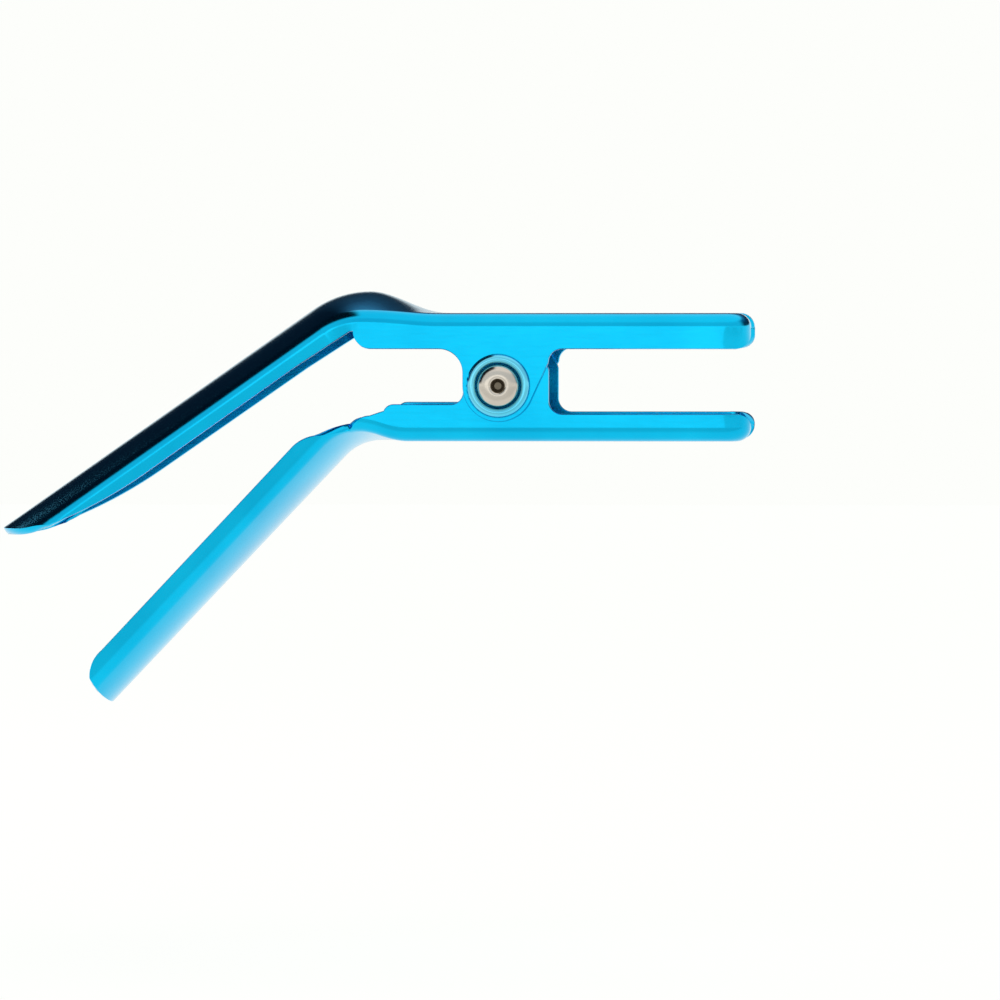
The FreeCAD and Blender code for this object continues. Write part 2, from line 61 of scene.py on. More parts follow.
def linear(hex_colour):
    """The linear colour of an sRGB hex string, with alpha 1: each channel over 12.92 where it is dark, and
    otherwise ((channel + 0.055) / 1.055) to the power 2.4."""
    channels = [int(hex_colour[i : i + 2], 16) / 255 for i in (0, 2, 4)]
    return [c / 12.92 if c <= 0.04045 else ((c + 0.055) / 1.055) ** 2.4 for c in channels] + [1.0]


def add_node(tree, kind, inputs=None, stops=(), **settings):
    """A node of that kind with its settings, its input values and a colour ramp's (position, colour) stops.
    An input given as a socket is linked."""
    node = tree.nodes.new(kind)
    for name, value in settings.items():
        setattr(node, name, value)
    for key, value in (inputs or {}).items():
        if isinstance(value, bpy.types.NodeSocket):
            tree.links.new(value, node.inputs[key])
        else:
            node.inputs[key].default_value = value
    if stops:
        elements = node.color_ramp.elements
        while len(elements) < len(stops):
            elements.new(0.5)
        for element, (position, colour) in zip(elements, stops):
            element.position = position
            element.color = colour
    return node


CLOUD_MM = 14.0
NOISE_ROUGHNESS = 0.55
COAT_ROUGHNESS = 0.06


def metal(name, colour, dark, roughness, roughness_spread, grain_mm, grain_depth_mm, stretch, coat):
    """A metal whose colour drifts between two shades over CLOUD_MM. A fine grain, stretched along X, moves
    its roughness up and down by roughness_spread and its surface by grain_depth_mm."""
    material = bpy.data.materials.new(name)
    material.use_nodes = True
    tree = material.node_tree
    shader = tree.nodes["Principled BSDF"]
    place = add_node(tree, "ShaderNodeTexCoord").outputs["Object"]
    clouds = add_node(
        tree,
        "ShaderNodeTexNoise",
        {"Vector": place, "Scale": 1000.0 / CLOUD_MM, "Detail": 3.0, "Roughness": NOISE_ROUGHNESS},
    )
    shade = add_node(
        tree,
        "ShaderNodeValToRGB",
        {"Fac": clouds.outputs["Fac"]},
        stops=[(0.3, linear(dark)), (0.65, linear(colour))],
    )
    tree.links.new(shade.outputs["Color"], shader.inputs["Base Color"])
    long_place = add_node(tree, "ShaderNodeMapping", {"Vector": place, "Scale": (1.0 / stretch, 1.0, 1.0)})
    grain = add_node(
        tree,
        "ShaderNodeTexNoise",
        {
            "Vector": long_place.outputs["Vector"],
            "Scale": 1000.0 / grain_mm,
            "Detail": 4.0,
            "Roughness": NOISE_ROUGHNESS,
        },
    )
    spread = add_node(
        tree,
        "ShaderNodeMapRange",
        {
            "Value": grain.outputs["Fac"],
            "From Min": 0.3,
            "From Max": 0.7,
            "To Min": roughness - roughness_spread,
            "To Max": roughness + roughness_spread,
        },
    )
    tree.links.new(spread.outputs["Result"], shader.inputs["Roughness"])
    bump = add_node(
        tree,
        "ShaderNodeBump",
        {"Height": grain.outputs["Fac"], "Strength": 1.0, "Distance": grain_depth_mm * MM},
    )
    tree.links.new(bump.outputs["Normal"], shader.inputs["Normal"])
    shader.inputs["Metallic"].default_value = 1.0
    shader.inputs["Coat Weight"].default_value = coat
    shader.inputs["Coat Roughness"].default_value = COAT_ROUGHNESS
    return material


# Aluminium sheet, bright-dipped, dyed blue and sealed: a tinted mirror, a little soft, under a thin clear
# oxide. Its rolling grain is about 0.05 mm wide and is drawn 0.35 mm wide, so that it shows.
anodised_blue = metal(
    "glossy_blue_anodised_aluminium",
    "06c4f2",
    "02b8e8",
    roughness=0.16,
    roughness_spread=0.03,
    grain_mm=0.35,
    grain_depth_mm=0.0006,
    stretch=10.0,
    coat=0.12,
)
# The same sheet on the raised bead, paler as a painted highlight, with a stronger clear gloss.
bead_painted_highlight = metal(
    "blue_anodised_aluminium_painted_highlight",
    "7fdff6",
    "5ccfee",
    roughness=0.14,
    roughness_spread=0.03,
    grain_mm=0.35,
    grain_depth_mm=0.0006,
    stretch=3.0,
    coat=0.3,
)
# Turned steel with nickel plate: warm, bright and nearly smooth. Its turning marks, about 0.05 mm apart,
# are drawn 0.25 mm wide.
nickel = metal(
    "bright_nickel_plated_steel",
    "dcd4c8",
    "c4bcb0",
    roughness=0.18,
    roughness_spread=0.04,
    grain_mm=0.25,
    grain_depth_mm=0.001,
    stretch=3.0,
    coat=0.0,
)
# The bore of the rolled end: rougher, and darker as painted shade in the recess.
bore_painted_shade = metal(
    "steel_with_painted_shade_in_the_bore",
    "8a8070",
    "5c5548",
    roughness=0.4,
    roughness_spread=0.05,
    grain_mm=0.25,
    grain_depth_mm=0.001,
    stretch=3.0,
    coat=0.0,
)
# Drawn spring wire, bare and oiled: grey, with long drawing lines that are drawn 0.2 mm wide.
spring_wire = metal(
    "drawn_spring_steel_wire",
    "b9b8b4",
    "9c9b98",
    roughness=0.28,
    roughness_spread=0.05,
    grain_mm=0.2,
    grain_depth_mm=0.001,
    stretch=6.0,
    coat=0.0,
)

# The sheet, its round bends and the crown that the handles are pressed to.
SHEET = 1.25
BEND = 2.2
CROWN_RISE = 3.4
# The web's inner face, which is the jaw's seat, and its outer face.
SEAT = 8.65
WEB_TOP = SEAT + SHEET
# The jaw fork: its tips, and the mouth between them.
TIP_X = 11.8
TIP_CORNER = 4.0
CORNER_X = TIP_X - TIP_CORNER
MOUTH_RADIUS = 11.0
MOUTH_CORNER = 1.6
# The ears round the rivet. The web starts to bend and crown at LOFT_X.
EAR_BACK_X = PIVOT_X - 5.4
EAR_FRONT_X = PIVOT_X + 7.6
EAR_LOBE = 5.4
RIVET_HOLE = 2.15
LOFT_X = EAR_BACK_X - 3.8
# The two handles: how far behind the rivet they bend, by how many degrees, and their lengths from there.
UPPER_BEND_BACK = 24.7
UPPER_ANGLE = 35.0
UPPER_LENGTH = 63.3
LOWER_BEND_BACK = 22.5
LOWER_ANGLE = 46.5
LOWER_LENGTH = 56.5
HANDLE_DEPTH = 6.2
HANDLE_END_HALF_WIDTH = 11.5
ROOT_INSET = 0.8
# The sheet's cut edge swells by this much in its middle.
EDGE_BULGE = 0.15
# The bead round the rivet: part of a tube of radius BEAD_TUBE that stands BEAD_RISE out of the ear.
BEAD_RADIUS = 4.15
BEAD_TUBE = 0.75
BEAD_RISE = 0.5
BEAD_FOOT = math.sqrt(BEAD_TUBE**2 - (BEAD_TUBE - BEAD_RISE) ** 2)
BEAD_REACH = 5.0
# How finely the surfaces are divided.
BEND_ROWS = 9
CROWN_ROWS = 16
CORNER_COLUMNS = 13
FRONT_COLUMNS = 4
EDGE_STEPS = 8
LINE_STEP = 0.8
ARC_STEP = 0.35
FILL_GAP = 1.3
# Points nearer than this count as one.
SAME_POINT = 0.02
# A flat wall's faces outweigh a bend's by this much in the direction of the points that they share.
FLAT_WEIGHT = 1000.0

# The flattest crown that an arc is worked out for. The search for a cut's end halves this many times, and
# no other section stays nearer to it than this.
LEAST_RISE = 1e-4
HALVINGS = 40
NEAR_CROSSING = 0.08


def smooth(share):
    """Rises from 0 to 1 with no slope at either end: three times the share's square less twice its cube."""
    share = np.clip(share, 0.0, 1.0)
    return share * share * (3.0 - 2.0 * share)


class Lever:
    """The sizes of one pressing, drawn in mm with its web on top, and the line that its web follows.

    Places along that line are measured backwards from LOFT_X: along the flat, round an arc of bend_radius
    and straight down the handle. A handle with a negative angle bends up, away from its side walls.
    """

    def __init__(self, half_width, bend_back, bend_radius, angle, length, end_length, outline, beaded):
        self.half_width = half_width
        self.beaded = beaded
        self.turn = math.radians(angle)
        self.sense = math.copysign(1.0, angle)
        self.radius = bend_radius
        self.end_length = end_length
        tangent = bend_radius * math.tan(abs(self.turn) / 2)
        self.arc_x = PIVOT_X - bend_back + tangent
        self.flat = LOFT_X - self.arc_x
        self.bent = self.flat + bend_radius * abs(self.turn)
        self.total = self.bent + length - tangent
        self.outline = outline
        self.outline_places, heights = self.place_of(outline[:, 0], outline[:, 1])
        behind = self.outline_places > self.flat
        self.lip_places = np.maximum.accumulate(self.outline_places[behind])
        self.lip_heights = heights[behind]

    def line(self, place):
        """Point (x, z) of the web line at a place, and the angle that the line has turned through there."""
        place = np.asarray(place, float)
        angle = self.sense * np.clip((place - self.flat) / self.radius, 0.0, abs(self.turn))
        past = np.maximum(place - self.bent, 0.0)
        radius = self.sense * self.radius
        x = LOFT_X - np.minimum(place, self.flat) - radius * np.sin(angle) - past * np.cos(angle)
        z = WEB_TOP - radius * (1 - np.cos(angle)) - past * np.sin(angle)
        return x, z, angle

    def place_of(self, x, z):
        """The place whose normal passes through a point beside the web, and the point's height along it."""
        x = np.asarray(x, float)
        z = np.asarray(z, float)
        centre_z = WEB_TOP - self.sense * self.radius
        round_bend = np.arctan2((self.arc_x - x) * self.sense, (z - centre_z) * self.sense) * self.sense
        end_x, end_z, _ = self.line(self.bent)
        beyond = (end_x - x) * math.cos(self.turn) + (end_z - z) * math.sin(self.turn)
        place = self.flat + self.radius * np.clip(round_bend, 0.0, abs(self.turn))
        place = np.where(x > self.arc_x, LOFT_X - x, place)
        place = np.where((x <= self.arc_x) & (beyond > 0), self.bent + beyond, place)
        line_x, line_z, turned = self.line(place)
        return place, -(x - line_x) * np.sin(turned) + (z - line_z) * np.cos(turned)

    def width(self, place):
        """Half the width outside the walls: the body's, drawn in a little at the bend, then tapering."""
        root = self.half_width - ROOT_INSET * smooth((place - self.flat) / (self.bent - self.flat))
        taper = np.clip((place - self.bent) / (self.total - self.bent), 0.0, 1.0)
        return root + (HANDLE_END_HALF_WIDTH - root) * taper

    def section(self, place):
        """Points (across, height) of half the section. The crown is an arc whose radius is (width squared
        plus rise squared) over twice the rise. The bend is an arc inside it that ends flush with the
        side wall."""
        width = float(self.width(place))
        if self.sense > 0:
            apex = rise = CROWN_RISE * float(smooth(place / self.flat))
        else:
            apex = 0.0
            rise = CROWN_RISE * float(smooth((place - self.flat / 2) / (self.bent - self.flat / 2)))
        rise = max(rise, LEAST_RISE)
        radius = (width * width + rise * rise) / (2 * rise)
        reach = math.sqrt((radius - BEND) ** 2 - (width - BEND) ** 2)
        lean = math.atan2(reach, width - BEND)
        across = np.linspace(0.0, radius * math.cos(lean), CROWN_ROWS)[:-1]
        crown = np.stack([across, apex - radius + np.sqrt(radius * radius - across * across)], 1)
        turn = np.linspace(lean, 0.0, BEND_ROWS)
        bend_z = apex - radius + reach + BEND * np.sin(turn)
        bend = np.stack([width - BEND + BEND * np.cos(turn), bend_z], 1)
        return np.concatenate([crown, bend])

    def lip(self, place):
        """Height of the pressing's lip from the bend back."""
        return np.interp(place, self.lip_places, self.lip_heights)

    def room(self, place, points):
        """How far points of a section lie inside the lip and the rounded end of the handle, which is half
        an ellipse as seen from above."""
        into_end = np.clip((place - self.total) / self.end_length + 1.0, 0.0, 1.0)
        reach = self.width(self.total - self.end_length) * math.sqrt(1.0 - into_end**2)
        if into_end == 0.0:
            reach = self.half_width
        if place <= self.flat:
            return reach - points[:, 0]
        return np.minimum(reach - points[:, 0], points[:, 1] - self.lip(place))

    def spare(self, place):
        """How far the foot of the section's round bend is from being cut off; negative where it is."""
        return self.room(place, self.section(place)[-1:])[0]

    def cut_section(self, place):
        """The section as far as the lip or the handle's rounded end. Its points keep the shares of its
        length that they have on a whole one."""
        points = self.section(place)
        room = self.room(place, points)
        outside = np.nonzero(room < 0)[0]
        if len(outside) == 0:
            return points
        steps = np.concatenate([[0.0], np.cumsum(np.hypot(*np.diff(points, axis=0).T))])
        last = outside[0]
        if last == 0:
            cut = 0.0
        else:
            share = room[last - 1] / (room[last - 1] - room[last])
            cut = steps[last - 1] + share * (steps[last] - steps[last - 1])
        wanted = steps * cut / steps[-1]
        return np.stack([np.interp(wanted, steps, points[:, axis]) for axis in (0, 1)], 1)

    def stations(self):
        """Places of the sections, and which of them have a wall below. One of them lies wherever a cut
        begins or ends, which is found by halving the stretch between two sections."""
        end_turns = np.linspace(0.0, math.pi / 2, 24)
        places = np.concatenate(
            [
                np.linspace(0.0, self.flat, 16),
                np.linspace(self.flat, self.bent, 24)[1:],
                np.linspace(self.bent, self.total - self.end_length, 64)[1:],
                self.total - self.end_length * (1 - np.sin(end_turns[1:])),
            ]
        )
        crossings = []
        for low, high in zip(places, places[1:]):
            if (self.spare(low) < 0) == (self.spare(high) < 0):
                continue
            falling = self.spare(low) >= 0
            for _ in range(HALVINGS):
                middle = (low + high) / 2
                if (self.spare(middle) >= 0) == falling:
                    low = middle
                else:
                    high = middle
            crossings.append(low if falling else high)
        places = [place for place in places if all(abs(place - c) > NEAR_CROSSING for c in crossings)]
        places = np.array(sorted(places + crossings))
        return places, np.array([self.spare(place) >= 0 for place in places])


def sampled(start, *steps):
    """Points from start along lines ("line", x, z) and arcs ("round", x, z, radius, first degree, last
    degree), LINE_STEP or a little more apart on lines and ARC_STEP or a little more on arcs."""
    runs = [np.array([start], float)]
    for kind, *step in steps:
        if kind == "line":
            here = runs[-1][-1]
            end = np.array(step)
            count = max(1, int(np.hypot(*(end - here)) / LINE_STEP))
            runs.append(here + (end - here) * np.arange(1, count + 1)[:, None] / count)
        else:
            x, z, radius, first, last = step
            count = max(5, int(abs(math.radians(last - first)) * radius / ARC_STEP))
            turns = np.radians(np.linspace(first, last, count + 1))
            runs.append(np.stack([x + radius * np.cos(turns), z + radius * np.sin(turns)], 1))
    points = np.concatenate(runs)
    apart = np.hypot(*np.diff(points, axis=0).T) > SAME_POINT
    return points[np.concatenate([[True], apart])]


def lip_point(side, bend_back, angle, below_web, distance):
    """A point of a handle's lip: below_web under its web line, and distance along it from its bend."""
    turn = math.radians(angle)
    x = PIVOT_X - bend_back + side * below_web * math.sin(turn) - distance * math.cos(turn)
    z = WEB_TOP - below_web * math.cos(turn) - side * distance * math.sin(turn)
    return np.array([x, z])


def through(a, b, c, count=14):
    """Lines along the circle through three points, as steps for sampled: its centre is as far from all
    three."""
    ab, ac = b - a, c - a
    cross = 2 * (ab[0] * ac[1] - ab[1] * ac[0])
    towards = [ac[1] * (ab @ ab) - ab[1] * (ac @ ac), ab[0] * (ac @ ac) - ac[0] * (ab @ ab)]
    along = np.array(towards) / cross
    centre = a + along
    first, last = [math.atan2(*(p - centre)[::-1]) for p in (a, c)]
    turn = (last - first + math.pi) % (2 * math.pi) - math.pi
    angles = first + turn * np.linspace(0, 1, count + 1)[1:]
    radius = np.hypot(*along)
    return [("line", centre[0] + radius * math.cos(t), centre[1] + radius * math.sin(t)) for t in angles]


def upper_outline():
    """The lip of the upper pressing from its jaw tip back: flange, ear, rear corner and handle lip."""
    flange = WEB_TOP - 5.4
    tip = 2.0
    front = 2.2
    back = 3.8
    rear_x = PIVOT_X - 22.4
    corner = 2.7
    out_x, out_z = EAR_FRONT_X - PIVOT_X, flange - front - PIVOT_Z
    tangent = math.atan2(out_z, out_x) - math.acos(EAR_LOBE / math.hypot(out_x, out_z))
    bend = (1, UPPER_BEND_BACK, UPPER_ANGLE)
    neck = 11.0
    taper = 24.0
    full = HANDLE_DEPTH - CROWN_RISE
    end = 2.0 - CROWN_RISE
    bulge = 0.75
    turn, swell, last = [
        lip_point(*bend, below, distance)
        for below, distance in (
            (full, UPPER_LENGTH - taper),
            (end + (full - end) * bulge, UPPER_LENGTH - taper / 2),
            (end, UPPER_LENGTH),
        )
    ]
    return sampled(
        (TIP_X, flange + tip),
        ("round", TIP_X - tip, flange + tip, tip, 0, -90),
        ("line", EAR_FRONT_X + front, flange),
        ("round", EAR_FRONT_X + front, flange - front, front, 90, 180),
        ("line", PIVOT_X + EAR_LOBE * math.cos(tangent), PIVOT_Z + EAR_LOBE * math.sin(tangent)),
        ("round", PIVOT_X, PIVOT_Z, EAR_LOBE, math.degrees(tangent), -180),
        ("line", EAR_BACK_X, flange - back),
        ("round", EAR_BACK_X - back, flange - back, back, 0, 90),
        ("line", rear_x + corner, flange),
        ("round", rear_x + corner, flange + corner, corner, -90, -180),
        ("line", rear_x - 0.6, flange + corner),
        ("line", *lip_point(*bend, full, neck)),
        ("line", *turn),
        *through(turn, swell, last),
    )


def lower_outline():
    """The lip of the lower pressing, turned web up: flange, ear, stepped rear end and handle lip."""
    jaw = WEB_TOP - 4.1
    rear = WEB_TOP - 5.6
    tip = 1.8
    front = 2.2
    back = 2.0
    pivot_z = -PIVOT_Z
    top = EAR_FRONT_X - PIVOT_X + 0.4
    top_front = math.degrees(math.acos((EAR_FRONT_X - PIVOT_X) / top))
    top_back = math.degrees(math.acos((EAR_BACK_X - PIVOT_X) / top))
    step_x = PIVOT_X - 17.8
    step = 1.5
    shelf = rear + 1.75
    rear_x = PIVOT_X - 23.0
    corner = 3.0
    bend = (-1, LOWER_BEND_BACK, LOWER_ANGLE)
    taper = 5.6
    end = 2.4
    bulge = 0.7
    start, turn, swell, last = [
        lip_point(*bend, below, distance)
        for below, distance in (
            (HANDLE_DEPTH, 7.0),
            (HANDLE_DEPTH, LOWER_LENGTH - taper),
            (end + (HANDLE_DEPTH - end) * bulge, LOWER_LENGTH - taper * 0.3),
            (end, LOWER_LENGTH),
        )
    ]
    notch = shelf + corner * 0.85
    neck = 4.3
    ledge = np.array([start[0] + neck, notch + 0.5])
    knee = np.array([start[0] + neck / 3, ledge[1] * 0.6 + start[1] * 0.4])
    return sampled(
        (TIP_X, jaw + tip),
        ("round", TIP_X - tip, jaw + tip, tip, 0, -90),
        ("line", EAR_FRONT_X + front, jaw),
        ("round", EAR_FRONT_X + front, jaw - front, front, 90, 180),
        ("line", EAR_FRONT_X, pivot_z - top * math.sin(math.radians(top_front))),
        ("round", PIVOT_X, pivot_z, top, -top_front, -top_back),
        ("line", EAR_BACK_X, rear - back),
        ("round", EAR_BACK_X - back, rear - back, back, 0, 90),
        ("line", step_x + step, rear),
        ("round", step_x + step, rear + step, step, -90, -160),
        ("line", rear_x + corner, shelf),
        ("round", rear_x + corner, shelf + corner, corner, -90, -165),
        ("line", *ledge),
        *through(ledge, knee, start),
        ("line", *turn),
        *through(turn, swell, last),
    )


def inside(points, loop):
    """Which points lie inside a closed loop, counted by crossings of a ray along X."""
    x, y = points[:, 0][:, None], points[:, 1][:, None]
    ax, ay = loop[:, 0], loop[:, 1]
    bx, by = np.roll(ax, -1), np.roll(ay, -1)
    spans = (ay > y) != (by > y)
    with np.errstate(divide="ignore", invalid="ignore"):
        crossing = ax + (y - ay) * (bx - ax) / (by - ay)
    return (np.sum(spans & (x < crossing), 1) % 2).astype(bool)


def filled(loop, hole=None):
    """Triangles over a flat region inside loop and outside hole, with a square grid of points between its
    edges: (points, triangles)."""
    low, high = loop.min(0), loop.max(0)
    ticks = [np.arange(low[axis], high[axis], FILL_GAP) for axis in (0, 1)]
    grid = np.stack(np.meshgrid(*ticks), -1).reshape(-1, 2)
    grid = grid[inside(grid, loop)]
    if hole is not None:
        grid = grid[~inside(grid, hole)]
        edge = np.concatenate([loop, hole])
    else:
        edge = loop
    if len(grid):
        away = np.min(np.hypot(*(grid[:, None] - edge[None]).transpose(2, 0, 1)), 1)
        grid = grid[away > 0.4 * FILL_GAP]
    points = np.concatenate([edge, grid])
    links = [(k, (k + 1) % len(loop)) for k in range(len(loop))]
    if hole is not None:
        links += [(len(loop) + k, len(loop) + (k + 1) % len(hole)) for k in range(len(hole))]
    found, _, triangles, *_ = delaunay_2d_cdt([Vector(p) for p in points], links, [], 1, 1e-6)
    found = np.array(found)
    triangles = np.array(triangles)
    if hole is not None:
        triangles = triangles[~inside(found[triangles].mean(1), hole)]
    return found, triangles


def strip(rows):
    """Quads over a grid of points given as columns x rows x 3."""
    columns, count = rows.shape[:2]
    index = np.arange(columns * count).reshape(columns, count)
    quads = np.stack([index[:-1, :-1], index[1:, :-1], index[1:, 1:], index[:-1, 1:]], -1).reshape(-1, 4)
    return rows.reshape(-1, 3), quads


def mouth_reach(inset):
    """How far the mouth's side stands from the middle at that distance behind the tip: its radius, and in
    front of that a quarter circle that opens outwards."""
    if inset >= MOUTH_CORNER:
        return MOUTH_RADIUS
    side = MOUTH_CORNER - inset
    return MOUTH_RADIUS + MOUTH_CORNER - math.sqrt(MOUTH_CORNER**2 - side**2)


# A wall's foot leaves out points of the lip that are nearer than this to its end sections.
LIP_MARGIN = 0.05


def outer_skin(lever):
    """The outer face of half a pressing, on the +Y side, as a list of (points, faces).

    Its bends and crown are grids of rounded sections: quarter circles of radius BEND swept round the fork,
    then the sections of the handle set square to its web line. Its side wall and the flat of its web are
    flat regions inside their outlines, and share the grids' edge points.
    """
    width = lever.half_width
    turns = np.linspace(math.pi / 2, 0.0, BEND_ROWS)
    inset = BEND * (1 - np.cos(turns))
    drop = WEB_TOP - BEND + BEND * np.sin(turns)
    corner_y = width - TIP_CORNER
    columns = []
    for share in np.linspace(1.0, 0.0, FRONT_COLUMNS + 1)[:-1]:
        reach = np.array([mouth_reach(depth) for depth in inset])
        columns.append(np.stack([TIP_X - inset, corner_y + (reach - corner_y) * share, drop], 1))
    for turn in np.linspace(0.0, math.pi / 2, CORNER_COLUMNS):
        out = (TIP_CORNER - inset) * math.cos(turn)
        side = (TIP_CORNER - inset) * math.sin(turn)
        columns.append(np.stack([CORNER_X + out, corner_y + side, drop], 1))
    for x in np.linspace(CORNER_X, LOFT_X, 31)[1:-1]:
        columns.append(np.stack([np.full(BEND_ROWS, x), width - inset, drop], 1))
    places, walled = lever.stations()
    tail = []
    for place in places:
        across, height = lever.cut_section(place).T
        x, z, turned = lever.line(place)
        tail.append(np.stack([x - height * math.sin(turned), across, z + height * math.cos(turned)], 1))
    tail = np.array(tail)
    columns.append(tail[0][CROWN_ROWS - 1 :])
    bend = np.array(columns)
    pieces = [strip(bend), strip(tail)]

    # The flat of the web: along the bend, then round the mouth and down the middle.
    mouth_front = TIP_X - BEND
    side = [(x, MOUTH_RADIUS) for x in np.linspace(mouth_front, 0.0, 9)[1:]]
    mouth_turns = np.linspace(math.pi / 2, math.pi, 25)[1:]
    around = MOUTH_RADIUS * np.stack([np.cos(mouth_turns), np.sin(mouth_turns)], 1)
    middle = [(x, 0.0) for x in np.linspace(-MOUTH_RADIUS, LOFT_X, 20)[1:-1]]
    across = tail[0][:CROWN_ROWS, :2]
    loop = np.concatenate([across[:-1], bend[::-1, 0, :2], side, around, middle])
    flat, triangles = filled(loop)
    pieces.append((np.column_stack([flat, np.full(len(flat), WEB_TOP)]), triangles))

    # The side wall, unrolled: distance back from the front end of the corner's bend, and height. It is one
    # region, or two where the lip climbs past the foot of the round bend between them.
    corner_run = TIP_CORNER * math.pi / 2
    run_origin = corner_run + CORNER_X
    front = bend[FRONT_COLUMNS:, -1]
    corner_runs = np.linspace(0.0, corner_run, CORNER_COLUMNS)
    front_run = np.concatenate([corner_runs, run_origin - front[CORNER_COLUMNS:, 0]])
    lip_x, lip_z = lever.outline.T
    lip_corner = np.arccos(np.clip((lip_x - CORNER_X) / TIP_CORNER, 0.0, 1.0))
    lip_run = np.where(lip_x > CORNER_X, TIP_CORNER * lip_corner, run_origin - lip_x)
    lip = np.stack([lip_run, lip_z], 1)
    ear = np.array([run_origin - PIVOT_X, PIVOT_Z * lever.sense])
    turns = np.linspace(0, 2 * math.pi, 61)
    hole_radius = BEAD_REACH if lever.beaded else RIVET_HOLE
    hole = ear + hole_radius * np.stack([np.cos(turns), np.sin(turns)], 1)[:-1]
    edges = np.flatnonzero(np.diff(np.concatenate([[False], walled, [False]]).astype(int)))
    for start, stop in zip(edges[::2], edges[1::2] - 1):
        foot_x, _, foot_z = tail[start : stop + 1, -1].T
        top = np.stack([run_origin - foot_x, foot_z], 1)
        below = lever.outline_places < places[stop] - LIP_MARGIN
        if start == 0:
            top = np.concatenate([np.stack([front_run, front[:, 2]], 1), top[1:]])
        else:
            below &= lever.outline_places > places[start] + LIP_MARGIN
        x, z, turned = lever.line(places[stop])
        height = lever.lip(places[stop])
        corner = [run_origin - x + height * math.sin(turned), z + height * math.cos(turned)]
        foot = lip[below]
        if np.hypot(*(corner - top[-1])) > SAME_POINT:
            foot = np.concatenate([foot, [corner]])
        wall, triangles = filled(np.concatenate([top, foot[::-1]]), hole if start == 0 else None)
        run, height = wall.T
        on_corner = run < corner_run
        turn = np.clip(run, 0.0, corner_run) / TIP_CORNER
        x = np.where(on_corner, CORNER_X + TIP_CORNER * np.cos(turn), run_origin - run)
        place, _ = lever.place_of(x, height)
        side = np.where(x > LOFT_X, width, lever.width(np.maximum(place, 0.0)))
        y = np.where(on_corner, corner_y + TIP_CORNER * np.sin(turn), side)
        pieces.append((np.stack([x, y, height], 1), triangles))

    # Circles round the rivet's hole, for the bead that is raised there later.
    if lever.beaded:
        bead = np.linspace(BEAD_RADIUS - BEAD_FOOT, BEAD_RADIUS + BEAD_FOOT, 13)
        radii = np.concatenate([[RIVET_HOLE, 2.8], bead, [BEAD_REACH]])
        circles = np.stack(
            [
                PIVOT_X - radii * np.cos(turns)[:, None],
                np.full((len(turns), len(radii)), width),
                PIVOT_Z + radii * np.sin(turns)[:, None],
            ],
            -1,
        )
        pieces.append(strip(circles))
    return pieces


def values_of(items, name, width=1, kind=float):
    """One value of each of a mesh's items as an array, a row of width numbers for each item."""
    values = np.empty(len(items) * width, kind)
    items.foreach_get(name, values)
    return values.reshape(-1, width) if width > 1 else values


def unit(vectors):
    """The vectors over their own lengths."""
    return vectors / np.linalg.norm(vectors, axis=-1, keepdims=True)


def joined_skin(name, lever):
    """A mesh of both halves of a pressing's outer face, joined and facing outwards. Its flat faces have
    material index 1."""
    points, faces, flat, count = [], [], [], 0
    for across in (1, -1):
        for part, corners in outer_skin(lever):
            points.append(part * (1, across, 1))
            faces += (corners + count).tolist()
            flat += [corners.shape[1] == 3] * len(corners)
            count += len(part)
    mesh = bpy.data.meshes.new(name)
    mesh.from_pydata((np.concatenate(points) * MM).tolist(), [], faces)
    mesh.polygons.foreach_set("material_index", np.array(flat, int))
    net = bmesh.new()
    net.from_mesh(mesh)
    bmesh.ops.remove_doubles(net, verts=net.verts, dist=0.004 * MM)
    bmesh.ops.dissolve_degenerate(net, edges=net.edges, dist=0.01 * MM)
    loose = [vert for vert in net.verts if not vert.link_faces]
    bmesh.ops.delete(net, geom=loose, context="VERTS")
    bmesh.ops.recalc_face_normals(net, faces=net.faces)
    top = max(net.faces, key=lambda face: face.calc_center_median().z)
    if top.normal.z < 0:
        bmesh.ops.reverse_faces(net, faces=net.faces)
    net.to_mesh(mesh)
    net.free()
    return mesh


